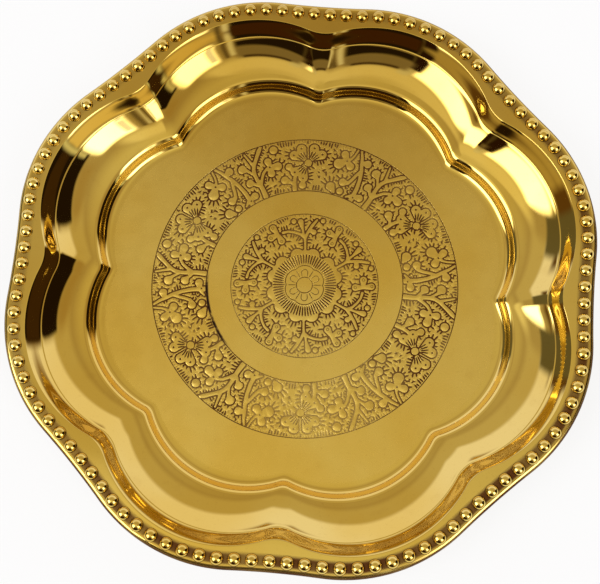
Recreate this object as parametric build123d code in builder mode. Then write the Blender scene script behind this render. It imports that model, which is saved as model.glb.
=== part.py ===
from build123d import *

import os
from math import atan2, cos, degrees, radians, sin

# Scalloped brass puja thali, in millimetres, standing on z = 0 with its centre on the Z axis.
# A pressed dish carries a struck bead border, soldered to its flange and rolled over a wire.

# Plan of the plate: eight lobes, with a hollow on the +X axis
lobe_count = 8
cusp_reach_share = 0.921
floor_cusp_round = 3.0
flange_cusp_round = 14.0
rim_cusp_round = 300.0

# Section of the dish at the crest of a lobe, from the floor outwards
sheet = 0.9
wall_set_out = 0.5
floor_reach = 71.3
step_width = 5.9
step_slopes = [0.0, 70.0, 0.0]
cove_width = 12.6
cove_slopes = [8.0, 42.0]
ledge_width = 0.4
ledge_rise = 0.1
lip_width = 4.3
lip_slopes = [42.0, 53.0, 42.0]
flange_land_at_crest = 1.0
flange_land_at_cusp = 4.55

# Bead border and the wire in its rolled edge
bead_count = 108
bead_radius = 2.35
bead_sink = 0.75
bead_wall = 0.8
bead_edge_gap = 1.15
bead_seam_gap = 0.15
wire_radius = 0.75
wire_clearance = 0.05
roll_turn = 215.0

# Solder line under the joint between flange and border
solder_depth = 0.45
solder_inset = 0.08

overrun = 1.0

# How finely each arc of the section is stepped
short_arc_shares = [0.33, 0.67, 1.0]
long_arc_shares = [0.15, 0.3, 0.45, 0.6, 0.73, 0.86, 1.0]

half_lobe = 180 / lobe_count


def moulding(start, width, slopes, shares):
    """Rise of this width along tangent arcs of one radius, from each of its slopes to the next."""
    reach, height = start
    turns = [(radians(first), radians(second)) for first, second in zip(slopes, slopes[1:])]
    radius = width / sum(abs(sin(second) - sin(first)) for first, second in turns)
    points = []
    for first, second in turns:
        for share in shares:
            slope = first + (second - first) * share
            run = radius * abs(sin(slope) - sin(first))
            rise = radius * abs(cos(slope) - cos(first))
            points.append((reach + run, height + rise))
        reach, height = points[-1]
    return points


def dish_section():
    """Reach and height of the dish's top side at a crest, from the floor's edge to the flange."""
    points = [(floor_reach, sheet)]
    points += moulding(points[-1], step_width, step_slopes, short_arc_shares)
    points += moulding(points[-1], cove_width, cove_slopes, long_arc_shares)
    points.append((points[-1][0] + ledge_width, points[-1][1] + ledge_rise))
    return points + moulding(points[-1], lip_width, lip_slopes, short_arc_shares)


section = dish_section()
flange_reach, flange_top = section[-1]
bead_inset = bead_edge_gap + bead_radius
border_width = bead_inset + bead_radius + bead_seam_gap
seam_crest = flange_reach + flange_land_at_crest
seam_cusp = flange_reach * cusp_reach_share + flange_land_at_cusp
roll_radius = wire_radius + wire_clearance + sheet


def polar(reach, angle):
    """Point at this reach and angle in the plane that is being drawn on."""
    return (reach * cos(radians(angle)), reach * sin(radians(angle)))


def lobed_outline(crest_reach, cusp_reach, cusp_round):
    """Closed line of crest arcs and the hollow arcs between them, all tangent, about the origin."""
    hollow_reach = cusp_reach + cusp_round
    sum_reach = crest_reach + cusp_round
    half = radians(half_lobe)
    crest_centre = (sum_reach**2 - hollow_reach**2) / (2 * (sum_reach - hollow_reach * cos(half)))
    turn = degrees(atan2(hollow_reach * sin(half), hollow_reach * cos(half) - crest_centre))
    for lobe in range(lobe_count):
        axis = half_lobe * (2 * lobe + 1)
        crest = polar(crest_centre, axis)
        hollow = polar(hollow_reach, axis + half_lobe)
        CenterArc(crest, crest_reach - crest_centre, axis - turn, 2 * turn)
        CenterArc(hollow, cusp_round, axis + turn + 180, 2 * (half_lobe - turn))


def wall_outline(reach, set_out):
    """Outline of the dish's wall at one level, given its reach at a crest."""
    share = (reach - floor_reach) / (flange_reach - floor_reach)
    cusp_round = floor_cusp_round + (flange_cusp_round - floor_cusp_round) * share
    lobed_outline(reach + set_out, reach * cusp_reach_share + set_out, cusp_round - set_out)


def rim_outline(inset):
    """Outline that runs this far inside the plate's outer edge."""
    lobed_outline(
        seam_crest + border_width - inset, seam_cusp + border_width - inset, rim_cusp_round + inset
    )


def across(path):
    """Plane across the start of a path, with X towards the plate's centre and Y up."""
    along = path % 0
    return Plane(origin=path @ 0, x_dir=Vector(0, 0, 1).cross(along), z_dir=along)


# Pressed dish: the filled underside form and the flange, with the hollow of the plate cut out
with BuildPart() as dish:
    for reach, height in section:
        with BuildSketch(Plane.XY.offset(height - sheet)):
            with BuildLine():
                wall_outline(reach, wall_set_out)
            make_face()
    loft(ruled=True)
    with BuildSketch(Plane.XY.offset(flange_top - sheet)):
        with BuildLine():
            rim_outline(border_width)
        make_face()
    extrude(amount=sheet)
    for reach, height in section + [(flange_reach, flange_top + overrun)]:
        with BuildSketch(Plane.XY.offset(height)):
            with BuildLine():
                wall_outline(reach, 0)
            make_face()
    loft(ruled=True, mode=Mode.SUBTRACT)

# Bead border: a strip level with the flange, rolled under at its edge, with hollow beads along it
with BuildLine(Plane.XY.offset(flange_top)) as rim_line:
    rim_outline(0)
with BuildLine(Plane.XY.offset(flange_top - bead_sink)) as bead_line:
    rim_outline(bead_inset)
bead_row = bead_line.wire()
bead_centres = [bead_row.position_at(bead / bead_count) for bead in range(bead_count)]

with BuildPart() as bead_border:
    with BuildSketch(across(rim_line.wire())):
        with BuildLine():
            top = Line((border_width, 0), (roll_radius, 0))
            outer_roll = CenterArc((roll_radius, -roll_radius), roll_radius, 90, roll_turn)
            inner_roll = CenterArc((roll_radius, -roll_radius), roll_radius - sheet, 90, roll_turn)
            Line(outer_roll @ 1, inner_roll @ 1)
            underside = Line(inner_roll @ 0, (border_width, -sheet))
            Line(underside @ 1, top @ 0)
        make_face()
    sweep(path=rim_line.wire())
    with Locations(*bead_centres):
        Sphere(bead_radius, arc_size1=0, align=(Align.CENTER, Align.CENTER, Align.MIN))
    with Locations(*bead_centres):
        Sphere(bead_radius - bead_wall, mode=Mode.SUBTRACT)

# Wire that the edge of the border is rolled over
with BuildLine(Plane.XY.offset(flange_top - roll_radius)) as wire_line:
    rim_outline(roll_radius)
with BuildPart() as rim_wire:
    with BuildSketch(across(wire_line.wire())):
        Circle(wire_radius)
    sweep(path=wire_line.wire())

# Solder line, a shallow rib under the seam, clear of the dish's wall at the crests
solder_half = flange_land_at_crest - wall_set_out - solder_inset
with BuildLine(Plane.XY.offset(flange_top - sheet)) as seam_line:
    rim_outline(border_width)
with BuildPart() as solder_seam:
    with BuildSketch(across(seam_line.wire())):
        with BuildLine():
            Line((-solder_half, 0), (solder_half, 0))
            ThreePointArc((solder_half, 0), (0, -solder_depth), (-solder_half, 0))
        make_face()
    sweep(path=seam_line.wire())

os.makedirs("parts", exist_ok=True)
for label, piece in [
    ("dish", dish),
    ("bead_border", bead_border),
    ("rim_wire", rim_wire),
    ("solder_seam", solder_seam),
]:
    piece.part.label = label
    export_step(piece.part, f"parts/{label}.step")
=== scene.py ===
from math import atan2, cos, hypot, pi, radians, sin

import bpy
import numpy as np
from mathutils import Matrix, Vector
from mathutils.geometry import delaunay_2d_cdt
from mathutils.kdtree import KDTree


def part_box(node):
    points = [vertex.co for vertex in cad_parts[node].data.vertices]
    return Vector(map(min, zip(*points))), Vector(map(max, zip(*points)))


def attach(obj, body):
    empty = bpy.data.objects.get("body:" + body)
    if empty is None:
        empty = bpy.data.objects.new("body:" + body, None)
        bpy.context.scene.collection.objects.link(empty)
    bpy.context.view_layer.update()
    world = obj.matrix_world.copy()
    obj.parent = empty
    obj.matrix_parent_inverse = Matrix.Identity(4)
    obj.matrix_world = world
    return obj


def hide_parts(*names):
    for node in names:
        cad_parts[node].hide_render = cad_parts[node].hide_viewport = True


# Scalloped brass puja thali: an engraved dish, a bead border, its wire and its solder line.
# Sizes are in millimetres and become metres where a mesh is made.
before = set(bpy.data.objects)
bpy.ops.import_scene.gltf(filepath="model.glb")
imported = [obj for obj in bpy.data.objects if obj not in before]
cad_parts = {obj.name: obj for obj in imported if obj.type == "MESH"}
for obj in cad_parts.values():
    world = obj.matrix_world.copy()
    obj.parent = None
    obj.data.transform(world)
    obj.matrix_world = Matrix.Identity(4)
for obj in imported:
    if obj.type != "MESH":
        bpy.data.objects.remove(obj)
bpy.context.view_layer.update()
MM = 0.001

# Plan and section of the dish, as in the solids apart from the lip's slopes and the polished edges
lobe_count = 8
cusp_reach_share = 0.921
floor_cusp_round = 3.0
flange_cusp_round = 14.0
rim_cusp_round = 300.0
sheet = 0.9
wall_set_out = 0.5
floor_reach = 71.3
step_width = 5.9
step_slopes = [0.0, 70.0, 0.0]
cove_width = 12.6
cove_slopes = [8.0, 42.0]
ledge_width = 0.4
ledge_rise = 0.1
lip_width = 4.3
lip_slopes = [45.0, 50.0, 45.0]
flange_land_at_crest = 1.0
flange_land_at_cusp = 4.55
polish_round = 0.12

# Bead border
bead_count = 108
bead_radius = 2.35
bead_sink = 0.75
bead_wall = 0.8
bead_edge_gap = 1.15
bead_seam_gap = 0.15
bead_size_shares = (1.0, 1.05)
bead_seed = 3
wire_radius = 0.75
wire_clearance = 0.05
roll_turn = 215.0

# How finely the meshes are stepped, and the angles in degrees that make a new row or a sharp edge
columns_per_half_lobe = 24
column_crowding = 1.6
section_step = 0.06
arc_steps = 24
straight_steps = 10
longest_run = 1.5
top_bend = 8.0
underside_bend = 30.0
floor_row_shares = (0.3, 0.6, 0.85)
flange_row_shares = (0.4, 1.0)
roll_steps = 30
bead_rows = 9
bead_hollow_rows = 6
bead_sides = 24
bead_line_points = 1440
dish_crease = 25.0
border_crease = 35.0

# Polish, from 0 for dull to 1 for a mirror
wall_polish = 1.0
floor_polish = 0.4
roll_polish = 0.2
underside_polish = 0.0

# Painted shade between the beads and on the outer edge, by inset from the edge, and up the foot of each
# bead;
# it is darker by a share towards one side of the plate
crevice_painted_shade = [(0.0, 0.3), (0.35, 0.2), (0.9, 0.05), (1.7, 0.06), (2.33, 0.14), (4.68, 0.16), (5.85, 0.06)]
crevice_foot = 0.3
crevice_foot_start = 0.01
crevice_height = 0.5
crevice_side_turn = -55.0
crevice_side_share = 0.4

# Where the band's cuts are painted lighter, where the plate is painted darker in shade towards its top, and
# the dark arc of soot on the band's inner line
painted_light_spot = (11.0, -45.0)
upper_shade_spot = (0.0, 75.0)
soot_turn = 201.0
soot_reach = 33.9

# Derived sizes
half_lobe = pi / lobe_count
flange_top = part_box("dish")[1].z / MM
bead_inset = bead_edge_gap + bead_radius
border_width = bead_inset + bead_radius + bead_seam_gap
roll_radius = wire_radius + wire_clearance + sheet
flange_reach = floor_reach + step_width + cove_width + ledge_width + lip_width
seam_crest = flange_reach + flange_land_at_crest
seam_cusp = flange_reach * cusp_reach_share + flange_land_at_cusp

# Engraving: band of flowers and medallion, cut a little off the plate's centre
engraving_centre = (0.78, -0.04)
engraving_scale = 0.981
engraving_seed = 7
engraved_field = 58.0
repeat_count = 6
repeat_turn = 360 / repeat_count
band_start = -0.5
band_inner = 34.7
band_outer = 53.95
medallion_start = 33.65
medallion_reach = 26.0
outline_half_width = 0.3
outline_depth = 0.13

# Hatching of the ground: cuts that start on lines at these distances from the motifs and run away from them
hatch_levels = (0.32, 0.8, 1.3, 1.9, 2.6, 3.4)
hatch_half_width = 0.36
hatch_depth = 0.15
hatch_ends = (0.4, 0.25)
hatch_gap = 0.95
hatch_clear_share = 0.66
hatch_length = 2.4
hatch_length_shares = (0.75, 1.1)
hatch_lean = 8.0
hatch_stride = 0.2
hatch_climb_share = 0.3
hatch_fewest_points = 3
hatch_search_step = 0.1
hatch_taken_step = 0.15

# Other cuts of the graver; an open one has the share of its width that is left at each end
boss_cut = dict(half_width=0.18, depth=0.16, closed=True)
petal_cut = dict(half_width=0.27, depth=0.18, ends=(0.4, 0.2))
border_cut = dict(half_width=0.2, depth=0.16, closed=True)
ring_cut = dict(half_width=0.17, depth=0.12, closed=True)
loop_cut = dict(half_width=0.15, depth=0.1, ends=(0.5, 0.5), spacing=0.3)
parting_cut = dict(half_width=0.16, depth=0.11, ends=(0.6, 0.3))
collar_cut = dict(half_width=0.3, depth=0.14, ends=(0.2, 0.8))
eye_cut = dict(half_width=0.11, depth=0.08, closed=True)
dot_depth = 0.26

# How finely the cuts are stepped, and the least that is kept of them
groove_step = 0.55
groove_tip = 0.04
groove_taper = 4
sample_step = 0.12
outline_step = 0.52
outline_fewest_points = 8
circle_step = 0.5
small_circle_step = 0.4
eye_step = 0.35
circle_fewest_points = 8
dot_sides = 10
widest_cut = 0.6
least_half_width = 0.02
least_depth = 0.004
merge_gap = 0.0001
level_clearance = 0.000001


def lobe_shape(crest_reach, cusp_reach, cusp_round):
    """Centre and radius of a crest arc, centre reach of a hollow arc, and the turn where they meet."""
    hollow_reach = cusp_reach + cusp_round
    sum_reach = crest_reach + cusp_round
    centre = (sum_reach**2 - hollow_reach**2) / (2 * (sum_reach - hollow_reach * cos(half_lobe)))
    across, along = hollow_reach * cos(half_lobe) - centre, hollow_reach * sin(half_lobe)
    radius = crest_reach - centre
    share = radius / hypot(across, along)
    return centre, radius, hollow_reach, atan2(share * along, centre + share * across)


def lobed_reach(turns, crest_reach, cusp_reach, cusp_round):
    """Reach of the lobed outline at these turns in radians, with a hollow at turn 0."""
    centre, radius, hollow_reach, meeting = lobe_shape(crest_reach, cusp_reach, cusp_round)
    from_crest = np.abs(turns % (2 * half_lobe) - half_lobe)
    from_hollow = half_lobe - from_crest
    crest = centre * np.cos(from_crest) + np.sqrt(
        np.maximum(radius**2 - (centre * np.sin(from_crest)) ** 2, 0)
    )
    hollow = hollow_reach * np.cos(from_hollow) - np.sqrt(
        np.maximum(cusp_round**2 - (hollow_reach * np.sin(from_hollow)) ** 2, 0)
    )
    return np.where(from_crest <= meeting, crest, hollow)


def column_turns():
    """Turns of the mesh columns, crowded towards the hollows where the wall bends most."""
    share = np.linspace(0, 1, columns_per_half_lobe + 1)
    from_crest = half_lobe * (1 - (1 - share) ** column_crowding)
    lobe = np.r_[-from_crest[::-1], from_crest[1:-1]]
    return np.concatenate([half_lobe * (2 * k + 1) + lobe for k in range(lobe_count)])


columns = column_turns()


def polar(reach, turns):
    """Points at these reaches and turns in radians."""
    return np.stack([reach * np.cos(turns), reach * np.sin(turns)], axis=-1)


def ring(reach, height):
    """One closed row of points at these reaches, one for each column."""
    return np.c_[polar(reach, columns), np.full(len(columns), height)]


def wall_reach(reach, set_out=0.0):
    """Reaches of the dish's wall at one level, given its reach at a crest."""
    share = (reach - floor_reach) / (flange_reach - floor_reach)
    cusp_round = floor_cusp_round + (flange_cusp_round - floor_cusp_round) * share
    return lobed_reach(columns, reach + set_out, reach * cusp_reach_share + set_out, cusp_round - set_out)


def rim_outline(inset):
    """Crest reach, cusp reach and cusp round of the outline this far inside the plate's outer edge."""
    return seam_crest + border_width - inset, seam_cusp + border_width - inset, rim_cusp_round + inset


def rim_reach(inset, turns=columns):
    """Reaches of that outline at these turns."""
    return lobed_reach(turns, *rim_outline(inset))


def moulding(width, slopes):
    """Runs and rises along tangent arcs of one radius, from each of the slopes to the next."""
    turns = [np.radians(np.linspace(first, second, arc_steps)) for first, second in zip(slopes, slopes[1:])]
    radius = width / sum(abs(sin(turn[-1]) - sin(turn[0])) for turn in turns)
    run, rise = np.zeros(1), np.zeros(1)
    for turn in turns:
        run = np.r_[run, run[-1] + radius * np.abs(np.sin(turn[1:]) - sin(turn[0]))]
        rise = np.r_[rise, rise[-1] + radius * np.abs(np.cos(turn[1:]) - cos(turn[0]))]
    return run, rise


def dish_section():
    """Reach and height of the dish's top side at a crest, with its edges rounded as by polishing."""
    share = np.linspace(0, 1, straight_steps)
    blur = 3 * polish_round
    level = (blur * share, 0 * share)
    legs = [
        level,
        moulding(step_width, step_slopes),
        moulding(cove_width, cove_slopes),
        (ledge_width * share, ledge_rise * share),
        moulding(lip_width, lip_slopes),
        level,
    ]
    reach, height = [np.array([floor_reach - blur])], [np.array([sheet])]
    for run, rise in legs:
        reach.append(reach[-1][-1] + run[1:])
        height.append(height[-1][-1] + rise[1:])
    reach, height = np.concatenate(reach), np.concatenate(height)
    along = np.r_[0, np.cumsum(np.hypot(np.diff(reach), np.diff(height)))]
    steps = np.arange(0, along[-1], section_step)
    reach, height = np.interp(steps, along, reach), np.interp(steps, along, height)
    margin = int(blur / section_step)
    offsets = np.arange(-margin, margin + 1) * section_step
    weights = np.exp(-((offsets / polish_round) ** 2) / 2)
    weights /= weights.sum()
    lead = np.arange(1, margin + 1) * section_step
    reach = np.convolve(np.r_[reach[0] - lead[::-1], reach, reach[-1] + lead], weights, "valid")
    height = np.convolve(np.pad(height, margin, mode="edge"), weights, "valid")
    return reach, height


def thinned(reach, height, bend):
    """Rows of a section, kept wherever it has turned by this many degrees or run on for a while."""
    slope = np.arctan2(np.diff(height), np.diff(reach))
    keep = [0]
    turned = 0.0
    for i in range(1, len(reach) - 1):
        turned += abs(slope[i] - slope[i - 1])
        run = hypot(reach[i] - reach[keep[-1]], height[i] - height[keep[-1]])
        if turned > radians(bend) or run > longest_run:
            keep.append(i)
            turned = 0.0
    keep.append(len(reach) - 1)
    return reach[keep], height[keep]


def skin(first, second):
    """Quads between two closed rows of vertex numbers, the first row inside the second seen from above."""
    return [
        (first[i], second[i], second[(i + 1) % len(second)], first[(i + 1) % len(first)])
        for i in range(len(first))
    ]


def new_object(name, points, faces, crease=dish_crease):
    """Mesh object of these points in millimetres, smooth apart from edges over the crease angle."""
    mesh = bpy.data.meshes.new(name)
    mesh.from_pydata([tuple(p) for p in np.asarray(points) * MM], [], faces)
    mesh.update()
    mesh.polygons.foreach_set("use_smooth", [True] * len(mesh.polygons))
    mesh.set_sharp_from_angle(angle=radians(crease))
    piece = bpy.data.objects.new(name, mesh)
    bpy.context.scene.collection.objects.link(piece)
    return piece


def note(piece, name, values):
    """Keeps one number for each vertex of a piece, for its material to read."""
    kept = piece.data.attributes.new(name, "FLOAT", "POINT")
    kept.data.foreach_set("value", np.asarray(values, np.float32))


def node(tree, kind, links=(), **settings):
    """Adds a node with its settings; a link is a value, a socket, or a node whose first output is meant."""
    made = tree.nodes.new(kind)
    for key, value in settings.items():
        setattr(made, key, value)
    for key, value in dict(links).items():
        named = made.inputs if isinstance(key, int) else {s.name: s for s in made.inputs if s.enabled}
        if isinstance(value, bpy.types.Node):
            value = next(s for s in value.outputs if s.enabled)
        if isinstance(value, bpy.types.NodeSocket):
            tree.links.new(value, named[key])
        else:
            named[key].default_value = value
    return made


# Engraving: plain motifs on a hatched ground.
# A motif is a set of tapered bars, each from one round end to another, in millimetres.


def spot(turn, reach):
    """Place at this turn in degrees and reach, about the engraving's centre."""
    return np.array([reach * cos(radians(turn)), reach * sin(radians(turn))])


def bars(chains):
    """Tapered bars along chains of (turn, reach, half width)."""
    made = []
    for chain in chains:
        ends = [(*spot(turn, reach), width) for turn, reach, width in chain]
        if len(ends) == 1:
            ends = ends * 2
        made += [(*a, *b) for a, b in zip(ends, ends[1:])]
    return made


def turned(points, degrees):
    """The same points, turned about the engraving's centre."""
    c, s = cos(radians(degrees)), sin(radians(degrees))
    return np.asarray(points) @ np.array([[c, s], [-s, c]])


def turned_bars(rows, degrees):
    """The same bars, turned about the engraving's centre."""
    rows = np.asarray(rows)
    return np.c_[turned(rows[:, 0:2], degrees), rows[:, 2], turned(rows[:, 3:5], degrees), rows[:, 5]]


def around(turn, reach, direction, distance):
    """Turn and reach of a place beside another: direction 0 runs on round the band, 90 outwards."""
    centre = spot(turn, reach)
    place = centre + turned([distance, 0], turn - 90 + direction)
    return np.degrees(atan2(place[1], place[0])), hypot(*place)


def circle(reach, spacing=circle_step):
    """Closed line round the engraving's centre, its last point on its first."""
    count = max(circle_fewest_points, round(2 * pi * reach / spacing))
    turns = np.radians(np.linspace(0, 360, count))
    return polar(reach, turns)


# Band of flowers, one repeat: (turn from the repeat's start, reach, half width)
flower_boss = (33.7, 45.2, 1.25)
flower_boss_gap = 0.2
flower_petals = [51.0, 134.0, 235.0]
petal_lobe_apart = 18.0
petal_lobe_distance = 5.75
petal_lobe_radius = 1.65
petal_root = (1.9, 0.55)
petal_dot_shift = 0.25
petal_dot_radius = 0.42
petal_line_shares = (-1.2, -0.4, 0.4, 1.2)
petal_line_lean_share = 0.03
petal_line_start = 1.95
petal_line_end = 4.7
petal_line_swell = 0.25
band_chains = [
    # Slender tree: trunk, right foot, side branch with a fruit, bud beside the crown
    [(7.5, 35.4, 0.8), (7.5, 37.7, 0.65), (7.5, 39.9, 0.65), (8.2, 43.3, 0.55), (8.9, 45.2, 0.6),
     (9.5, 46.9, 0.6), (10.5, 48.8, 0.5), (11.4, 51.3, 0.45), (12.6, 53.5, 0.3)],
    [(8.0, 37.0, 0.5), (9.8, 36.1, 0.35), (11.2, 35.5, 0.2)],
    [(9.7, 46.4, 0.4), (10.7, 44.4, 0.42), (11.6, 42.4, 0.45), (12.9, 40.5, 0.5), (15.3, 40.3, 1.4)],
    [(10.4, 49.6, 0.5), (8.4, 49.95, 1.4)],
    [(7.0, 36.9, 0.6), (3.9, 37.3, 1.3)],
    # Forked tree at the repeat's end, with its three fruits and the second trefoil's stem
    [(58.4, 35.4, 0.8), (58.4, 38.3, 0.7), (58.6, 39.9, 0.7), (59.1, 42.4, 0.6), (59.2, 44.4, 0.6),
     (58.8, 46.3, 0.6), (57.9, 47.8, 0.6), (56.4, 49.4, 0.55), (55.0, 51.05, 0.6), (53.9, 52.4, 0.7),
     (52.9, 53.5, 0.5)],
    [(58.2, 47.9, 0.45), (58.95, 50.2, 0.32), (59.8, 53.0, 0.25)],
    [(59.2, 44.2, 0.4), (60.6, 45.9, 0.35), (61.6, 47.2, 0.5), (62.95, 48.1, 1.65)],
    [(58.9, 39.8, 0.4), (60.4, 40.5, 0.35), (61.4, 41.5, 0.5), (62.7, 42.2, 1.5)],
    [(58.2, 40.0, 0.4), (56.6, 42.2, 0.42), (55.2, 43.8, 0.42), (53.2, 45.1, 0.35), (51.6, 45.4, 0.5)],
    # First trefoil on its stem
    [(14.0, 53.5, 0.25), (14.5, 51.3, 0.28), (15.3, 49.6, 0.3), (16.9, 48.3, 0.7), (18.5, 50.5, 1.3)],
    [(16.9, 48.3, 0.6), (14.8, 46.75, 1.35)],
    [(16.9, 48.3, 0.6), (19.9, 46.55, 1.85)],
    # Second trefoil
    [(51.4, 45.4, 0.6), (47.8, 45.0, 1.45)],
    [(51.4, 45.4, 0.6), (51.6, 47.6, 1.25)],
    [(51.4, 45.4, 0.6), (51.5, 42.95, 1.3)],
    # Flower's stem with its two fruits
    [(34.9, 44.6, 0.5), (37.7, 42.7, 0.45), (39.5, 41.05, 0.5), (40.45, 39.7, 0.5), (40.9, 37.7, 0.55),
     (41.1, 35.4, 0.7)],
    [(40.3, 40.4, 0.4), (40.9, 42.2, 0.35), (42.7, 44.0, 1.2)],
    [(41.0, 37.0, 0.4), (42.6, 38.1, 0.35), (45.6, 39.25, 1.4)],
    # Loose berries
    [(15.4, 36.7, 1.1)],
    [(18.6, 35.8, 0.4), (21.0, 37.4, 1.6)],
    [(36.6, 36.8, 1.2)],
    [(48.1, 51.3, 1.4)],
    # Boss of the flower
    [flower_boss],
]
band_dots = [(16.9, 48.35, 0.42), (51.4, 45.4, 0.42), (7.1, 36.4, 0.35)]


def petal_chains():
    """Two-lobed petals round the boss, with a dot in each lobe and lines out of the root."""
    turn, reach, _ = flower_boss
    chains, dots, lines = [], [], []
    root_distance, root_width = petal_root
    for axis in flower_petals:
        root = (*around(turn, reach, axis, root_distance), root_width)
        for side in (-1, 1):
            direction = axis + side * petal_lobe_apart
            lobe = around(turn, reach, direction, petal_lobe_distance)
            chains.append([root, (*lobe, petal_lobe_radius)])
            dot = around(turn, reach, direction, petal_lobe_distance + petal_dot_shift)
            dots.append((*dot, petal_dot_radius))
        for share in petal_line_shares:
            direction = axis + share * petal_lobe_apart
            lean = direction * (1 - petal_line_lean_share) + axis * petal_line_lean_share
            end = petal_line_end + petal_line_swell * (petal_line_shares[-1] - abs(share))
            lines.append([around(turn, reach, direction, petal_line_start), around(turn, reach, lean, end)])
    return chains, dots, lines


# Medallion, one repeat about the axis of a two-lobed petal: (turn from that axis, reach, half width)
boss_reach = 2.85
petal_reach = 7.1
petal_waist = 6.2
petal_edge_points = 180
parting_gap = 0.2
loop_foot = (3.15, 0.95)
loop_reach = 4.6
loop_radius = 1.1
loop_steps = 9
collar_reach = 11.1
collar_gap = 0.4
collar_strokes = 11
medallion_ground = 8.6
medallion_share = 0.7
medallion_chains = [
    # Two-lobed petals on their ring
    [(turn, 9.4, 1.9) for turn in (-30.0, -20.0, -10.0, 0.0, 10.0, 20.0, 30.0)],
    [(-14.2, 11.1, 2.3)],
    [(14.2, 11.1, 2.3)],
    [(0.0, 10.6, 2.1)],
    # Forked stem out of the petal's notch
    [(0.0, 12.6, 0.3), (0.2, 15.4, 0.3), (0.6, 17.2, 0.4), (5.5, 18.6, 0.35), (11.5, 19.6, 0.32),
     (17.5, 20.4, 0.3), (23.0, 20.6, 0.4)],
    [(0.6, 17.0, 0.4), (-2.5, 19.4, 0.4), (-6.0, 21.8, 0.45), (-9.5, 24.2, 0.3)],
    [(2.0, 17.8, 0.3), (3.0, 20.3, 0.3), (4.5, 23.2, 0.9)],
    [(-3.6, 20.3, 0.3), (-8.4, 19.6, 0.9)],
    [(-14.6, 24.3, 0.75)],
    [(10.5, 23.6, 0.8)],
    # Trefoil that the longer branch carries
    [(28.5, 20.7, 0.45), (28.2, 18.0, 1.15)],
    [(28.5, 20.7, 0.45), (35.8, 20.9, 1.2)],
    [(28.5, 20.7, 0.45), (29.6, 23.6, 1.1)],
]
medallion_eyes = [(28.2, 17.9, 0.5), (36.1, 20.9, 0.55), (29.7, 23.75, 0.5)]


def distance_to(points, rows):
    """Distance from each point to the nearest edge of the bars, negative inside them."""
    nearest = np.full(len(points), np.inf)
    for x0, y0, w0, x1, y1, w1 in rows:
        along = np.array([x1 - x0, y1 - y0])
        length = along @ along
        share = np.zeros(len(points))
        if length > 0:
            share = np.clip(((points - (x0, y0)) @ along) / length, 0, 1)
        gap = np.hypot(points[:, 0] - x0 - share * along[0], points[:, 1] - y0 - share * along[1])
        nearest = np.minimum(nearest, gap - w0 - (w1 - w0) * share)
    return nearest


def contours(grid, level):
    """Lines along which a grid of values crosses a level, as lists of (row, column) places."""
    above = grid > level
    crossings, links = {}, {}

    def crossing(i, j, down):
        a, b = grid[i, j], grid[i + 1, j] if down else grid[i, j + 1]
        share = (level - a) / (b - a)
        return (i + share, j) if down else (i, j + share)

    # Each cell has a code for the corners above the level, and the sides that a line joins there
    code = above[:-1, :-1] * 1 + above[:-1, 1:] * 2 + above[1:, 1:] * 4 + above[1:, :-1] * 8
    sides = {1: "NW", 2: "NE", 3: "EW", 4: "ES", 5: "NEWS", 6: "NS", 7: "WS", 8: "WS", 9: "NS",
             10: "NWES", 11: "ES", 12: "EW", 13: "NE", 14: "NW"}
    for i, j in zip(*np.nonzero((code > 0) & (code < 15))):
        edges = {"N": (i, j, False), "S": (i + 1, j, False), "W": (i, j, True), "E": (i, j + 1, True)}
        names = sides[code[i, j]]
        for a, b in zip(names[::2], names[1::2]):
            ka, kb = edges[a], edges[b]
            for key in (ka, kb):
                crossings.setdefault(key, crossing(*key))
            links.setdefault(ka, []).append(kb)
            links.setdefault(kb, []).append(ka)
    lines, seen = [], set()
    for start in [k for k in links if len(links[k]) == 1] + list(links):
        if start in seen:
            continue
        line, onward = [], [start]
        while onward:
            line.append(onward[0])
            seen.add(onward[0])
            onward = [k for k in links[onward[0]] if k not in seen]
        lines.append([crossings[k] for k in line])
    return lines


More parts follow.
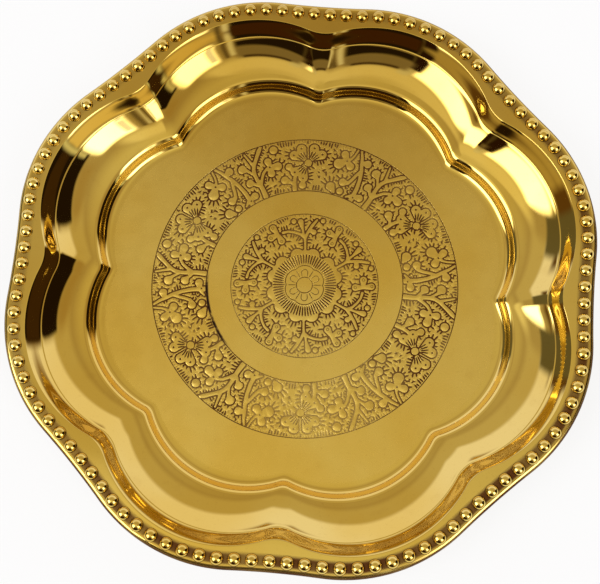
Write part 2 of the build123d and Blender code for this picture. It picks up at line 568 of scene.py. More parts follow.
class Ground:
    """Distance field of one repeat of the ornament, between two plain circles."""

    def __init__(self, chains, inner, outer, turn_step=0.15, reach_step=0.1):
        rows = bars(chains)
        self.rows = np.concatenate([turned_bars(rows, k * repeat_turn) for k in (-1, 0, 1)])
        self.inner, self.outer = inner, outer
        self.turns = np.linspace(0, repeat_turn, round(repeat_turn / turn_step) + 1)
        self.reaches = np.linspace(inner, outer, round((outer - inner) / reach_step) + 1)
        reach, turn = np.meshgrid(self.reaches, np.radians(self.turns), indexing="ij")
        self.grid = self.depth_at(polar(reach, turn).reshape(-1, 2)).reshape(reach.shape)

    def depth_at(self, points):
        """Distance from the nearest motif or border circle."""
        reach = np.hypot(points[:, 0], points[:, 1])
        border = np.minimum(self.outer - reach, reach - self.inner)
        return np.minimum(distance_to(points, self.rows), border)

    def motif_distance(self, points):
        """Distance from the nearest motif alone, at any turn round the plate."""
        turn = np.degrees(np.arctan2(points[:, 1], points[:, 0])) % repeat_turn
        home = polar(np.hypot(points[:, 0], points[:, 1]), np.radians(turn))
        return distance_to(home, self.rows)

    def lines_at(self, level):
        """Contours at this distance as points in millimetres."""
        found = []
        for places in contours(self.grid, level):
            i, j = np.array(places).T
            reach = np.interp(i, np.arange(len(self.reaches)), self.reaches)
            turn = np.radians(np.interp(j, np.arange(len(self.turns)), self.turns))
            found.append(polar(reach, turn))
        return found

    def value(self, point):
        """Distance field at one point, read between the grid's places; -1 outside the circles."""
        turn = np.degrees(atan2(point[1], point[0])) % repeat_turn
        i = (hypot(*point) - self.reaches[0]) / (self.reaches[1] - self.reaches[0])
        j = turn / (self.turns[1] - self.turns[0])
        if not 0 <= i < len(self.reaches) - 1:
            return -1.0
        i0, j0 = int(i), min(int(j), len(self.turns) - 2)
        g = self.grid[i0:i0 + 2, j0:j0 + 2]
        fi, fj = i - i0, j - j0
        return float((g[0] * (1 - fi) + g[1] * fi) @ np.array([1 - fj, fj]))

    def uphill(self, point, probe=0.08):
        """Direction away from the nearest motif."""
        dx = self.value(point + (probe, 0)) - self.value(point - (probe, 0))
        dy = self.value(point + (0, probe)) - self.value(point - (0, probe))
        size = hypot(dx, dy)
        return np.array([dx, dy]) / size if size > 0 else np.zeros(2)


def resampled(points, spacing):
    """The same line with points about this far apart, its ends kept."""
    along = np.r_[0, np.cumsum(np.hypot(*np.diff(points, axis=0).T))]
    count = max(2, round(along[-1] / spacing) + 1)
    steps = np.linspace(0, along[-1], count)
    return np.stack([np.interp(steps, along, points[:, 0]), np.interp(steps, along, points[:, 1])], 1)


def hatch(ground, rng):
    """Short cuts that stand on the motifs' outlines and fill the ground between them."""
    taken = np.empty((0, 2))
    cuts = []
    for level in hatch_levels:
        for line in ground.lines_at(level):
            for start in resampled(line, hatch_search_step):
                if len(taken) and np.min(np.hypot(*(taken - start).T)) < hatch_gap:
                    continue
                cut = grow_cut(ground, start, taken, rng)
                if len(cut) < hatch_fewest_points:
                    continue
                cuts.append(cut)
                fresh = resampled(cut, hatch_taken_step)
                taken = np.concatenate([taken] + [turned(fresh, k * repeat_turn) for k in (-1, 0, 1)])
    return cuts


def grow_cut(ground, start, taken, rng):
    """One cut, followed uphill from its start until the ground falls again or another cut is near."""
    limit = hatch_length * rng.uniform(*hatch_length_shares)
    lean = rng.normal(0, hatch_lean)
    points = [start]
    while len(points) * hatch_stride < limit:
        here = points[-1]
        onward = here + turned(ground.uphill(here), lean) * hatch_stride
        if ground.value(onward) < ground.value(here) + hatch_climb_share * hatch_stride:
            break
        if len(taken) and np.min(np.hypot(*(taken - onward).T)) < hatch_clear_share * hatch_gap:
            break
        points.append(onward)
    return np.array(points)


class Cutting:
    """Points and lines for the triangulated floor, with the samples that give each cut its depth."""

    def __init__(self):
        self.points, self.edges, self.samples = [], [], []

    def line(self, points, closed=False):
        """Adds a line that the triangles' edges follow; gives back its points' numbers."""
        start = len(self.points)
        self.points += [tuple(p) for p in points]
        numbers = list(range(start, len(self.points)))
        self.edges += list(zip(numbers, numbers[1:]))
        if closed:
            self.edges.append((numbers[-1], numbers[0]))
        return numbers

    def groove(self, points, half_width, depth, closed=False, ends=(0.0, 0.0), spacing=groove_step):
        """V-shaped cut along a line; open ends taper to a share of its width."""
        middle = resampled(np.asarray(points), spacing)
        if closed:
            middle = middle[:-1]
            along = np.roll(middle, -1, 0) - np.roll(middle, 1, 0)
            share = np.ones(len(middle))
        else:
            along = np.gradient(middle, axis=0)
            run = np.linspace(0, 1, len(middle))
            share = np.minimum(ends[0] + run * groove_taper, ends[1] + (1 - run) * groove_taper)
            share = np.minimum(1, share)
        along /= np.maximum(np.hypot(*along.T), 1e-9)[:, None]
        width = half_width * share
        aside = np.stack([-along[:, 1], along[:, 0]], axis=1) * width[:, None]
        self.line(middle, closed)
        if closed:
            self.line(middle + aside, True)
            self.line(middle - aside, True)
        else:
            first = middle[0] - along[0] * (width[0] + groove_tip)
            last = middle[-1] + along[-1] * (width[-1] + groove_tip)
            self.line(np.concatenate([[first], middle + aside, [last], (middle - aside)[::-1]]), True)
        fine = resampled(np.r_[middle, middle[:1]] if closed else middle, sample_step)
        for place in np.concatenate([fine, middle]):
            near = np.argmin(np.hypot(*(middle - place).T))
            if width[near] > least_half_width:
                self.samples.append((*place, width[near], depth * share[near]))

    def dot(self, place, radius):
        """Round punch mark."""
        turns = np.linspace(0, 2 * pi, dot_sides, endpoint=False)
        numbers = self.line(place + polar(radius, turns), True)
        self.points.append(tuple(place))
        self.edges += [(n, len(self.points) - 1) for n in numbers[::2]]
        self.samples.append((*place, radius, dot_depth))


def cut_ground(cutting, ground, cuts, start, share):
    """Outlines and hatch of one ring of ornament, at each of its repeats."""
    for repeat in range(repeat_count):
        degrees = start + repeat * repeat_turn
        for level in (0.0, outline_half_width, 2 * outline_half_width):
            for line in ground.lines_at(level + level_clearance):
                if level == 0.0 or len(line) > outline_fewest_points:
                    cutting.line(turned(resampled(line, outline_step), degrees))
        for cut in cuts:
            cutting.groove(turned(cut, degrees), hatch_half_width, hatch_depth * share, ends=hatch_ends)


def engrave_band(cutting, rng):
    """Band of trees, trefoils and flowers."""
    petals, petal_dots, petal_lines = petal_chains()
    ground = Ground(band_chains + petals, band_inner, band_outer)
    cut_ground(cutting, ground, hatch(ground, rng), band_start, 1.0)
    turn, reach, radius = flower_boss
    boss_ring = spot(turn, reach) + circle(radius + flower_boss_gap, small_circle_step)
    for repeat in range(repeat_count):
        degrees = band_start + repeat * repeat_turn
        cutting.groove(turned(boss_ring, degrees), **boss_cut)
        for inner, outer in petal_lines:
            cutting.groove(turned([spot(*inner), spot(*outer)], degrees), **petal_cut)
        for turn, reach, radius in petal_dots + band_dots:
            cutting.dot(turned(spot(turn, reach), degrees), radius)
    for reach in (band_inner, band_outer):
        cutting.groove(circle(reach), **border_cut)
    return ground


def engrave_medallion(cutting, rng):
    """Rosette with a hatched collar, ringed by two-lobed petals and forked stems."""
    ground = Ground(medallion_chains, medallion_ground, medallion_reach)
    cut_ground(cutting, ground, hatch(ground, rng), medallion_start, medallion_share)
    for reach in (boss_reach, medallion_reach):
        cutting.groove(circle(reach, small_circle_step), **ring_cut)

    # Scalloped edge of the rosette, which swells over each petal and comes in to a waist between two
    half_repeat = repeat_turn / 2
    turns = np.linspace(0, 360, petal_edge_points)
    from_axis = (turns + half_repeat) % repeat_turn - half_repeat
    swell = np.sqrt(np.abs(np.cos(np.radians(90 / half_repeat * from_axis))))
    edge = petal_waist + (petal_reach - petal_waist) * swell
    cutting.groove(turned(polar(edge, np.radians(turns)), medallion_start), **ring_cut)

    # Loop in each petal, the partings between them, the collar's strokes and the eyes of the trefoils
    bow = (loop_reach, 0.0) + polar(loop_radius, np.radians(np.linspace(-90, 90, loop_steps)))
    loop = np.concatenate([[(loop_foot[0], -loop_foot[1])], bow, [loop_foot]])
    parting = [(boss_reach + parting_gap, 0.0), (petal_waist - parting_gap, 0.0)]
    for repeat in range(repeat_count):
        degrees = medallion_start + repeat * repeat_turn
        cutting.groove(turned(loop, degrees), **loop_cut)
        cutting.groove(turned(parting, degrees + half_repeat), **parting_cut)
        for stroke in range(collar_strokes):
            turn = degrees + (stroke + 0.5) * repeat_turn / collar_strokes
            inner = np.interp((turn - medallion_start) % 360, turns, edge) + collar_gap
            cutting.groove(turned([(inner, 0.0), (collar_reach, 0.0)], turn), **collar_cut)
        for turn, reach, radius in medallion_eyes:
            cutting.groove(turned(spot(turn, reach) + circle(radius, eye_step), degrees), **eye_cut)
    return ground


def depth_of_cuts(points, samples, grounds):
    """Depth of the engraving at each point: the deepest of the cuts and outlines there."""
    tree = KDTree(len(samples))
    for number, sample in enumerate(samples):
        tree.insert((sample[0], sample[1], 0), number)
    tree.balance()
    depth = np.zeros(len(points))
    for i, (x, y) in enumerate(points):
        for _, number, gap in tree.find_range((x, y, 0), widest_cut):
            width, full = samples[number][2:]
            depth[i] = max(depth[i], full * (1 - gap / width))
    reach = np.hypot(*points.T)
    for ground, start, share in grounds:
        inside = (reach > ground.inner) & (reach < ground.outer)
        gap = ground.motif_distance(turned(points[inside], -start))
        rise = 1 - np.abs(gap - outline_half_width) / outline_half_width
        depth[inside] = np.maximum(depth[inside], share * outline_depth * np.clip(rise, 0, 1))
    depth[depth < least_depth] = 0
    return depth


def engraved_floor():
    """Points and triangles of the floor's engraved disc, and the numbers of its edge points by column."""
    cutting, rng = Cutting(), np.random.default_rng(engraving_seed)
    grounds = [
        (engrave_band(cutting, rng), band_start, 1.0),
        (engrave_medallion(cutting, rng), medallion_start, medallion_share),
    ]
    edge = ring(engraved_field, 0)[:, :2]
    count = len(edge)
    places = np.concatenate([edge, np.array(cutting.points) * engraving_scale + engraving_centre])
    places = [Vector(p) for p in places]
    edges = [(i, (i + 1) % count) for i in range(count)]
    edges += [(a + count, b + count) for a, b in cutting.edges]
    out, _, faces, sources, _, _ = delaunay_2d_cdt(places, edges, [], 1, merge_gap, True)
    out = np.array([tuple(p) for p in out])
    depth = depth_of_cuts((out - engraving_centre) / engraving_scale, cutting.samples, grounds)
    edge_numbers = [None] * count
    for number, inputs in enumerate(sources):
        for source in inputs:
            if source < count:
                edge_numbers[source] = number
                depth[number] = 0
    return np.c_[out, sheet - depth], faces, edge_numbers


def dish():
    """Engraved floor, stepped and coved wall and flange, with the plain underside."""
    points, faces, inner = engraved_floor()
    # Painted shade in the cuts: darker where a cut is deeper
    painted_shade = list((sheet - points[:, 2]) / hatch_depth)
    polish = [floor_polish] * len(points)
    points = list(points)

    def add(row, finish):
        start = len(points)
        points.extend(row)
        painted_shade.extend([0.0] * len(row))
        polish.extend([finish] * len(row))
        return list(range(start, start + len(row)))

    rows = [inner]
    floor_edge = wall_reach(floor_reach)
    for share in floor_row_shares:
        rows.append(add(ring(engraved_field + (floor_edge - engraved_field) * share, sheet), floor_polish))
    reach, height = dish_section()
    for r, h in zip(*thinned(reach, height, top_bend)):
        rows.append(add(ring(wall_reach(r), h), wall_polish))
    lip = wall_reach(reach[-1])
    seam = rim_reach(border_width)
    for share in flange_row_shares:
        rows.append(add(ring(lip + (seam - lip) * share, flange_top), wall_polish))
    rows.append(add(ring(seam, flange_top - sheet), underside_polish))
    below = height < flange_top
    reach, height = thinned(reach[below], height[below], underside_bend)
    for r, h in zip(reach[::-1], height[::-1]):
        rows.append(add(ring(wall_reach(r, wall_set_out), h - sheet), underside_polish))
    for r in (engraved_field, engraved_field / 2):
        rows.append(add(ring(r, 0), underside_polish))
    for first, second in zip(rows, rows[1:]):
        faces += skin(first, second)
    last = rows[-1]
    centre = add([np.zeros(3)], underside_polish)[0]
    faces += [(last[i], centre, last[(i + 1) % len(last)]) for i in range(len(last))]
    piece = new_object("engraved_dish", points, faces)
    note(piece, "painted_shade", painted_shade)
    note(piece, "polish", polish)
    return piece


def border_strip():
    """Strip level with the flange, rolled under at its outer edge round the wire."""
    roll = np.radians(np.linspace(0, roll_turn, roll_steps))
    inner_radius = roll_radius - sheet
    under_bead = (bead_inset + bead_radius / 2, bead_inset, bead_inset - bead_radius / 2)
    section = [(inset, 0.0) for inset in (border_width, border_width - bead_seam_gap, *under_bead)]
    section += [(roll_radius * (1 - sin(a)), -roll_radius * (1 - cos(a))) for a in roll]
    section += [
        (roll_radius - inner_radius * sin(a), -roll_radius + inner_radius * cos(a)) for a in roll[::-2]
    ]
    section += [(bead_inset, -sheet), (border_width, -sheet)]
    points, rows, faces = [], [], []
    for inset, drop in section:
        rows.append(list(range(len(points), len(points) + len(columns))))
        points.extend(ring(rim_reach(inset), flange_top + drop))
    for first, second in zip(rows, rows[1:] + rows[:1]):
        faces += skin(first, second)
    return points, faces


def bead_cup():
    """One struck bead, a dome that is hollow below, about the point where its centre sits."""
    profile = [(bead_radius, angle) for angle in np.linspace(90, 0, bead_rows)]
    profile += [(bead_radius - bead_wall, angle) for angle in np.linspace(0, 90, bead_hollow_rows)]
    turns = np.linspace(0, 2 * pi, bead_sides, endpoint=False)
    points, rows, faces = [], [], []
    for radius, angle in profile:
        reach, height = radius * cos(radians(angle)), radius * sin(radians(angle))
        start = len(points)
        points += [(reach * cos(t), reach * sin(t), height) for t in (turns if angle < 90 else turns[:1])]
        rows.append([start + i % (len(points) - start) for i in range(bead_sides)])
    for first, second in zip(rows, rows[1:]):
        faces += [tuple(dict.fromkeys(corners)) for corners in skin(first, second)]
    return new_object("bead_cup", points, faces)


def bead_tree():
    """Beads set along a closed line at even spacing, each a little larger or smaller."""
    tree = bpy.data.node_groups.new("bead row", "GeometryNodeTree")
    inputs = {}
    for name, kind in [
        ("Line", "Geometry"), ("Bead", "Object"), ("Count", "Int"), ("Smallest", "Float"),
        ("Largest", "Float"), ("Seed", "Int"), ("Finish", "Material"),
    ]:
        socket = tree.interface.new_socket(name, in_out="INPUT", socket_type=f"NodeSocket{kind}")
        inputs[name] = socket.identifier
    tree.interface.new_socket("Beads", in_out="OUTPUT", socket_type="NodeSocketGeometry")
    given = node(tree, "NodeGroupInput").outputs
    even = node(tree, "GeometryNodeResampleCurve", {"Curve": given["Line"], "Count": given["Count"]})
    cup = node(tree, "GeometryNodeObjectInfo", {"Object": given["Bead"]}).outputs["Geometry"]
    sizes = {"Min": given["Smallest"], "Max": given["Largest"], "Seed": given["Seed"]}
    size = node(tree, "FunctionNodeRandomValue", sizes, data_type="FLOAT")
    placed = node(tree, "GeometryNodeInstanceOnPoints", {"Points": even, "Instance": cup, "Scale": size})
    real = node(tree, "GeometryNodeRealizeInstances", {"Geometry": placed})
    finished = node(tree, "GeometryNodeSetMaterial", {"Geometry": real, "Material": given["Finish"]})
    node(tree, "NodeGroupOutput", {"Beads": finished})
    return tree, inputs


def bead_row(finish):
    """Points and faces of the row of beads along the border."""
    meeting = lobe_shape(*rim_outline(bead_inset))[-1]
    turns = half_lobe - meeting + np.linspace(0, 2 * pi, bead_line_points, endpoint=False)
    height = np.full(len(turns), flange_top - bead_sink)
    line = np.c_[polar(rim_reach(bead_inset, turns), turns), height] * MM
    curve = bpy.data.curves.new("bead_line", "CURVE")
    curve.dimensions = "3D"
    spline = curve.splines.new("POLY")
    spline.points.add(len(turns) - 1)
    spline.points.foreach_set("co", np.c_[line, np.ones(len(turns))].ravel())
    spline.use_cyclic_u = True
    row = bpy.data.objects.new("bead_line", curve)
    bpy.context.scene.collection.objects.link(row)
    cup = bead_cup()
    tree, inputs = bead_tree()
    modifier = row.modifiers.new("bead row", "NODES")
    modifier.node_group = tree
    smallest, largest = bead_size_shares
    for name, value in [
        ("Bead", cup), ("Count", bead_count), ("Smallest", smallest), ("Largest", largest),
        ("Seed", bead_seed), ("Finish", finish),
    ]:
        modifier[inputs[name]] = value
    graph = bpy.context.evaluated_depsgraph_get()
    beads = bpy.data.meshes.new_from_object(row.evaluated_get(graph))
    row.modifiers.remove(modifier)
    for spent in (row, cup):
        bpy.data.objects.remove(spent)
    return [np.array(v.co) / MM for v in beads.vertices], [tuple(p.vertices) for p in beads.polygons]


def bead_border(finish):
    """Border strip with its row of beads, and the shade painted between them."""
    points, faces = border_strip()
    beads, bead_faces = bead_row(finish)
    faces += [tuple(v + len(points) for v in face) for face in bead_faces]
    places = np.array(points + beads)
    piece = new_object("beaded_border", places, faces, border_crease)
    turns = np.arctan2(places[:, 1], places[:, 0])
    inset = rim_reach(0, turns) - np.hypot(places[:, 0], places[:, 1])
    above = places[:, 2] - flange_top
    # Painted shade up each bead's foot and, by inset, between the beads and on the outer edge; darker
    # towards one side
    foot = crevice_foot * np.clip(1 - above / crevice_height, 0, 1)
    crevice = np.where(above > crevice_foot_start, foot, np.interp(inset, *zip(*crevice_painted_shade)))
    shaded_side = 1 + crevice_side_share * np.cos(turns - radians(crevice_side_turn))
    note(piece, "painted_shade", crevice * shaded_side)
    note(piece, "polish", np.where(above > -roll_radius, wall_polish, roll_polish))
    return piece


# Materials: a range that is eased has this setting
eased = {"interpolation_type": "SMOOTHSTEP"}


def linear(code, strength=1.0):
    """Linear colour of an sRGB hex code, times a strength."""
    parts = [int(code[i:i + 2], 16) / 255 for i in (1, 3, 5)]
    parts = [p / 12.92 if p <= 0.04045 else ((p + 0.055) / 1.055) ** 2.4 for p in parts]
    return (*(p * strength for p in parts), 1.0)


def new_material(name):
    """Material of this name, and its node tree with nothing in it yet."""
    material = bpy.data.materials.new(name)
    material.use_nodes = True
    material.node_tree.nodes.clear()
    return material, material.node_tree


def per_mm(size):
    """Scale of a texture whose features are about this many millimetres across."""
    return 1 / (size * MM)


def patches(tree, place, size, low, high, least=0.0, most=1.0, detail=3.0):
    """Share that drifts over the surface in patches of this size in millimetres."""
    noise = node(tree, "ShaderNodeTexNoise", {"Vector": place, "Scale": per_mm(size), "Detail": detail})
    span = {"Value": noise, "From Min": low, "From Max": high, "To Min": least, "To Max": most}
    return node(tree, "ShaderNodeMapRange", span, **eased)


def about_spot(tree, place, spot, near, far, share_near, share_far):
    """Share that changes with the distance in millimetres from a spot on the plate."""
    offset = (-spot[0] * MM, -spot[1] * MM, 0.0)
    moved = node(tree, "ShaderNodeMapping", {"Vector": place, "Location": offset})
    gap = node(tree, "ShaderNodeVectorMath", {0: moved}, operation="LENGTH")
    span = {"From Min": near * MM, "From Max": far * MM, "To Min": share_near, "To Max": share_far}
    return node(tree, "ShaderNodeMapRange", {"Value": gap, **span}, **eased)


def polished_brass():
    """Yellow brass: mirror walls with a faint hand-worked wave, a satin floor with buffing streaks and
    stains, and shade painted dark into the engraving and between the beads."""
    material, tree = new_material("polished brass")
    place = node(tree, "ShaderNodeTexCoord").outputs["Object"]
    polish = node(tree, "ShaderNodeAttribute", attribute_name="polish").outputs["Fac"]
    painted_shade = node(tree, "ShaderNodeAttribute", attribute_name="painted_shade").outputs["Fac"]

    # Painted shade in the recesses: patchy, and painted lighter round a spot on the band's lower side
    recess_shade = node(tree, "ShaderNodeMapRange", {"Value": painted_shade, "From Min": 0.03, "From Max": 0.2}, **eased)
    for share in (
        patches(tree, place, 16, 0.3, 0.62, least=0.75, detail=2.0),
        # painted light: the cuts lighter round a spot on the band's lower side
        about_spot(tree, place, painted_light_spot, 8, 36, 0.62, 1.0),
    ):
        recess_shade = node(tree, "ShaderNodeMath", {0: recess_shade, 1: share}, operation="MULTIPLY")

    # Soot along one arc of the band's inner line, and only on the upper side
    centre = (-engraving_centre[0] * MM, -engraving_centre[1] * MM, 0.0)
    centred = node(tree, "ShaderNodeMapping", {"Vector": place, "Location": centre})
    axis = node(tree, "ShaderNodeSeparateXYZ", {"Vector": centred}).outputs
    turn = node(tree, "ShaderNodeMath", {0: axis["Y"], 1: axis["X"]}, operation="ARCTAN2")
    turn = node(tree, "ShaderNodeMath", {0: turn}, operation="DEGREES")
    turn = node(tree, "ShaderNodeMath", {0: turn, 1: 0.0, 2: 360.0}, operation="WRAP")
    reach = node(tree, "ShaderNodeVectorMath", {0: centred}, operation="LENGTH")
    upper = node(tree, "ShaderNodeMapRange", {"Value": polish, "From Min": 0.1, "From Max": 0.3}, **eased)
    soot = patches(tree, place, 2.4, 0.36, 0.56, detail=4.0)
    soot = node(tree, "ShaderNodeMath", {0: soot, 1: upper}, operation="MULTIPLY")
    for value, middle, end, full in [
        (reach, soot_reach * MM, 0.75 * MM, 0.15 * MM),
        (turn, soot_turn, 26.0, 14.0),
    ]:
        aside = node(tree, "ShaderNodeMath", {0: value, 1: middle}, operation="SUBTRACT")
        aside = node(tree, "ShaderNodeMath", {0: aside}, operation="ABSOLUTE")
        near = node(tree, "ShaderNodeMapRange", {"Value": aside, "From Min": end, "From Max": full}, **eased)
        soot = node(tree, "ShaderNodeMath", {0: soot, 1: near}, operation="MULTIPLY")
    dark = node(tree, "ShaderNodeMath", {0: recess_shade, 1: soot}, operation="MAXIMUM")

    # Tone: slow drift of the alloy, brownish stains and specks, painted shade towards the top of the plate,
    # and the painted shade of the recesses and the soot over them
    colour = linear("#E3C05C")
    for share, code in [
        (patches(tree, place, 48, 0.35, 0.65), "#E9CC70"),
        (patches(tree, place, 7, 0.58, 0.76, most=0.1, detail=4.0), "#B98F3C"),
        (patches(tree, place, 1.1, 0.6, 0.72, most=0.07), "#8E6526"),
        # painted shade: the plate darker towards its top
        (about_spot(tree, place, upper_shade_spot, 20, 85, 0.45, 0.0), "#B58E38"),
        # painted shade in the cuts and between the beads, together with the soot arc
        (dark, "#5C3408"),
        (soot, "#2C1606"),
    ]:
        layer = {"Factor": share, "A": colour, "B": linear(code)}
        colour = node(tree, "ShaderNodeMix", layer, data_type="RGBA")
    metallic = node(tree, "ShaderNodeMapRange", {"Value": dark, "To Min": 1.0, "To Max": 0.75}, **eased)

    # Gloss: mirror where the polish is 1, satin below, dull in the painted shade and the soot
    gloss = node(tree, "ShaderNodeMapRange", {"Value": polish, "To Min": 0.42, "To Max": 0.045})
    wear = patches(tree, place, 5, 0.3, 0.7, 0.93, 1.08, detail=5.0)
    gloss = node(tree, "ShaderNodeMath", {0: gloss, 1: wear}, operation="MULTIPLY")
    gloss = node(tree, "ShaderNodeMath", {0: dark, 1: 0.5, 2: gloss}, operation="MULTIPLY_ADD")

    # Relief: slow wave of the pressed sheet, and buffing streaks where the polish is low
    lengthways = {"Vector": place, "Scale": (0.03, 1.0, 1.0), "Rotation": (0.0, 0.0, 0.35)}
    lengthways = node(tree, "ShaderNodeMapping", lengthways)
    streak = node(tree, "ShaderNodeTexNoise", {"Vector": lengthways, "Scale": per_mm(0.22), "Detail": 2.0})
    satin = node(tree, "ShaderNodeMapRange", {"Value": polish, "From Min": 0.9, "From Max": 0.4}, **eased)
    streak = node(tree, "ShaderNodeMath", {0: streak, 1: satin}, operation="MULTIPLY")
    relief = node(tree, "ShaderNodeTexNoise", {"Vector": place, "Scale": per_mm(15), "Detail": 1.0})
    relief = node(tree, "ShaderNodeBump", {"Height": relief, "Strength": 1.0, "Distance": 0.045 * MM})
    streak = {"Height": streak, "Strength": 1.0, "Distance": 0.003 * MM, "Normal": relief}
    relief = node(tree, "ShaderNodeBump", streak)
    surface = {"Base Color": colour, "Metallic": metallic, "Roughness": gloss, "Normal": relief}
    surface = node(tree, "ShaderNodeBsdfPrincipled", surface)
    node(tree, "ShaderNodeOutputMaterial", {"Surface": surface})
    return material


def dull_metal(name, size, low, high, tones, roughness, grain, depth, detail=3.0):
    """Metal of two tones that meet in patches, the second one rougher, with a fine grain in relief."""
    material, tree = new_material(name)
    place = node(tree, "ShaderNodeTexCoord").outputs["Object"]
    share = patches(tree, place, size, low, high, detail=detail)
    colour = {"Factor": share, "A": linear(tones[0]), "B": linear(tones[1])}
    colour = node(tree, "ShaderNodeMix", colour, data_type="RGBA")
    gloss = {"Value": share, "To Min": roughness[0], "To Max": roughness[1]}
    gloss = node(tree, "ShaderNodeMapRange", gloss, **eased)
    relief = node(tree, "ShaderNodeTexNoise", {"Vector": place, "Scale": per_mm(grain), "Detail": 3.0})
    relief = node(tree, "ShaderNodeBump", {"Height": relief, "Strength": 1.0, "Distance": depth * MM})
    surface = {"Base Color": colour, "Metallic": 1.0, "Roughness": gloss, "Normal": relief}
    surface = node(tree, "ShaderNodeBsdfPrincipled", surface)
    node(tree, "ShaderNodeOutputMaterial", {"Surface": surface})
    return material


def drawn_wire():
    """Dull brass wire, left as it came from the die: fine pull marks and brown heat tint."""
    tones, roughness = ("#C09A4A", "#8A6428"), (0.3, 0.5)
    return dull_metal("drawn brass wire", 6, 0.35, 0.7, tones, roughness, grain=0.25, depth=0.02)


def wiped_solder():
    """Soft solder wiped while hot: grey, blotched yellow where it took on brass, with small lumps."""
    tones, roughness = ("#A9A392", "#A88A4C"), (0.34, 0.55)
    return dull_metal("wiped solder", 3, 0.38, 0.64, tones, roughness, grain=1.2, depth=0.12, detail=4.0)


# Studio: walls, soft boxes and dark flags round the plate, as (name, direction round the plate, height above
# the horizon, half spread in direction and in height, softness, colour, strength), in degrees; later ones
# lie over earlier ones
studio_panels = [
    ("ceiling", -115, 72, 80, 12, 8, "#FFF6D8", 0.95),
    ("upper wall", 92, 49, 72, 13, 5, "#FFEFC8", 0.6),
    ("low wall", 96, -6, 68, 18, 3, "#F0C070", 0.3),
    ("pale wall", 96, 20.5, 68, 16.5, 4, "#E2E0F6", 1.3),
    ("low surroundings", -90, -3, 118, 22, 4, "#D09A58", 0.2),
    ("left shelf", -140, 14, 26, 6, 4, "#FFE6A8", 0.5),
    ("right shelf", -38, 14, 26, 6, 4, "#FFE6A8", 0.85),
    ("front ground", -90, -2, 36, 13, 4, "#A07848", 0.06),
    ("far left flag", 169, 16, 11, 22, 3, "#F4E8C8", 0.16),
    ("left soft box", -153, 44, 25, 16, 4, "#F2F4FF", 5.0),
    ("left flag", -124, 34, 5, 18, 2, "#8A5830", 0.1),
    ("gap above the left flag", -120, 60, 5, 7, 3, "#F8F6F0", 0.9),
    ("front wall", -95, 51, 26, 9, 4, "#F0DCC0", 0.32),
    ("front flag", -95, 27, 25, 15, 3, "#A08060", 0.06),
    ("front flag's foot", -94, 17, 24, 6, 3, "#A86C38", 0.15),
    ("front bar", -94, 59, 20, 2, 2, "#A08060", 0.2),
    ("light strip", -67, 36, 2, 18, 2, "#F0F2FF", 1.0),
    ("shade beside the light strip", -62, 36, 2, 20, 2, "#D8C09A", 0.25),
    ("right soft box", -38, 42, 16, 15, 4, "#F2F4FF", 5.0),
    ("right soft box's shaded edge", -51, 42, 3, 12, 2, "#C8CCF0", 2.2),
    ("right flag's top", 8, 52, 20, 9, 8, "#FFE0A8", 0.44),
    ("right flag", 3, 20, 23, 23, 2, "#806040", 0.07),
    ("right flag's foot", 3, 4, 23, 11, 3, "#A87840", 0.12),
    ("gap beside the right flag", -18, 23, 2, 16, 2, "#F4F2DC", 0.8),
]
studio_colour = ("#FFE9BE", 0.48)
zenith_colour = ("#FFF4C8", 0.78)
zenith_start = 66.0

# White paper that the plate stands on, and how much of it is plain white to the eye
paper_half_size = 30000.0
paper_level = -0.05
paper_white_share = 0.85

# Camera at the photo's place: its distance, tilt and turn
camera_place = (17.226, -92.968, 412.402)
camera_target = (-0.536, -2.628, 0.9)
camera_turn = 5.026
camera_lens = 73.211
camera_sensor = 36.0
camera_near = 10.0


def studio():
    """Studio that the brass mirrors: its light by direction alone."""
    world = bpy.data.worlds.new("studio")
    bpy.context.scene.world = world
    world.use_nodes = True
    tree = world.node_tree
    tree.nodes.clear()
    direction = node(tree, "ShaderNodeTexCoord").outputs["Generated"]
    axis = node(tree, "ShaderNodeSeparateXYZ", {"Vector": direction}).outputs
    turn = node(tree, "ShaderNodeMath", {0: axis["Y"], 1: axis["X"]}, operation="ARCTAN2")
    turn = node(tree, "ShaderNodeMath", {0: turn}, operation="DEGREES")
    rise = node(tree, "ShaderNodeMath", {0: axis["Z"]}, operation="ARCSINE")
    rise = node(tree, "ShaderNodeMath", {0: rise}, operation="DEGREES")
    share = node(tree, "ShaderNodeMapRange", {"Value": rise, "From Min": zenith_start, "From Max": 90.0})
    layers = [("zenith", share, *zenith_colour)]
    for name, toward, height, half_turn, half_rise, soft, code, strength in studio_panels:
        aside = node(tree, "ShaderNodeMath", {0: turn, 1: toward}, operation="SUBTRACT")
        aside = node(tree, "ShaderNodeMath", {0: aside, 1: -180.0, 2: 180.0}, operation="WRAP")
        above = node(tree, "ShaderNodeMath", {0: rise, 1: height}, operation="SUBTRACT")
        within = []
        for offset, half in ((aside, half_turn), (above, half_rise)):
            offset = node(tree, "ShaderNodeMath", {0: offset}, operation="ABSOLUTE")
            span = {"Value": offset, "From Min": half + soft, "From Max": half - soft}
            within.append(node(tree, "ShaderNodeMapRange", span, **eased))
        share = node(tree, "ShaderNodeMath", {0: within[0], 1: within[1]}, operation="MULTIPLY")
        layers.append((name, share, code, strength))
    colour = linear(*studio_colour)
    for name, share, code, strength in layers:
        layer = {"Factor": share, "A": colour, "B": linear(code, strength)}
        colour = node(tree, "ShaderNodeMix", layer, data_type="RGBA", label=name)
    background = node(tree, "ShaderNodeBackground", {"Color": colour, "Strength": 1.0})
    node(tree, "ShaderNodeOutputWorld", {"Surface": background})


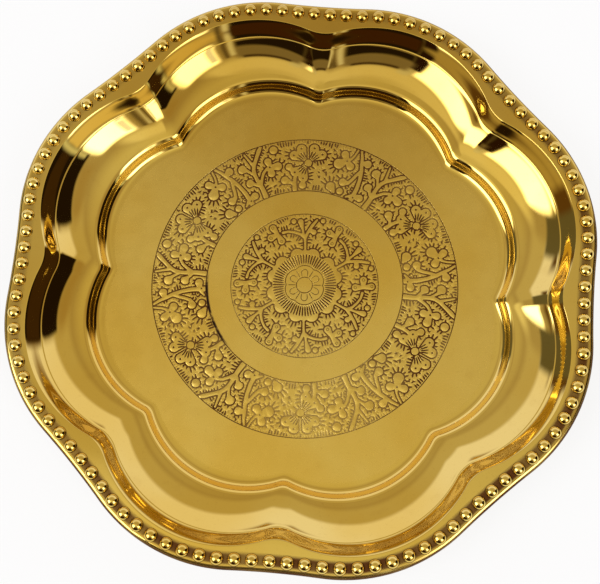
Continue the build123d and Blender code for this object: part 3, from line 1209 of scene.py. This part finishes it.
def camera():
    """Camera that looks at the plate from the photo's place."""
    place, target = Vector(camera_place) * MM, Vector(camera_target) * MM
    back = (place - target).normalized()
    turn = radians(camera_turn)
    right = Vector((-sin(turn), cos(turn), 0)).cross(back).normalized()
    data = bpy.data.cameras.new("camera")
    data.sensor_width = camera_sensor
    data.lens = camera_lens
    data.clip_start = camera_near * MM
    eye = bpy.data.objects.new("camera", data)
    eye.matrix_world = Matrix((right, back.cross(right), back)).transposed().to_4x4()
    eye.location = place
    bpy.context.scene.collection.objects.link(eye)
    bpy.context.scene.camera = eye


def floor():
    """White paper: white to the camera and in reflections, with a faint shadow under the plate."""
    corners = [(-1, -1), (1, -1), (1, 1), (-1, 1)]
    corners = [(x * paper_half_size, y * paper_half_size, paper_level) for x, y in corners]
    piece = new_object("floor", corners, [(0, 1, 2, 3)])
    material, tree = new_material("white paper")
    paper = node(tree, "ShaderNodeBsdfPrincipled", {"Base Color": linear("#F4F4F4"), "Roughness": 0.9})
    white = node(tree, "ShaderNodeEmission", {"Color": linear("#FFFFFF"), "Strength": 1.0})
    path = node(tree, "ShaderNodeLightPath").outputs
    seen = path["Is Camera Ray"]
    for ray in ("Is Glossy Ray", "Is Transmission Ray"):
        seen = node(tree, "ShaderNodeMath", {0: seen, 1: path[ray]}, operation="MAXIMUM")
    share = node(tree, "ShaderNodeMath", {0: seen, 1: paper_white_share}, operation="MULTIPLY")
    surface = node(tree, "ShaderNodeMixShader", {0: share, 1: paper, 2: white})
    node(tree, "ShaderNodeOutputMaterial", {"Surface": surface})
    piece.data.materials.append(material)


brass = polished_brass()
plate = dish()
plate.data.materials.append(brass)
border = bead_border(brass)
border.data.materials.append(brass)
for piece, name, slot in [(plate, "dish", "polished_brass"), (border, "bead_border", "polished_brass")]:
    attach(piece, "root")
    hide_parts(name)
for name, finish in [("rim_wire", drawn_wire()), ("solder_seam", wiped_solder())]:
    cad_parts[name].material_slots[0].material = finish
floor()
studio()
camera()
bpy.context.scene.view_settings.view_transform = "Standard"
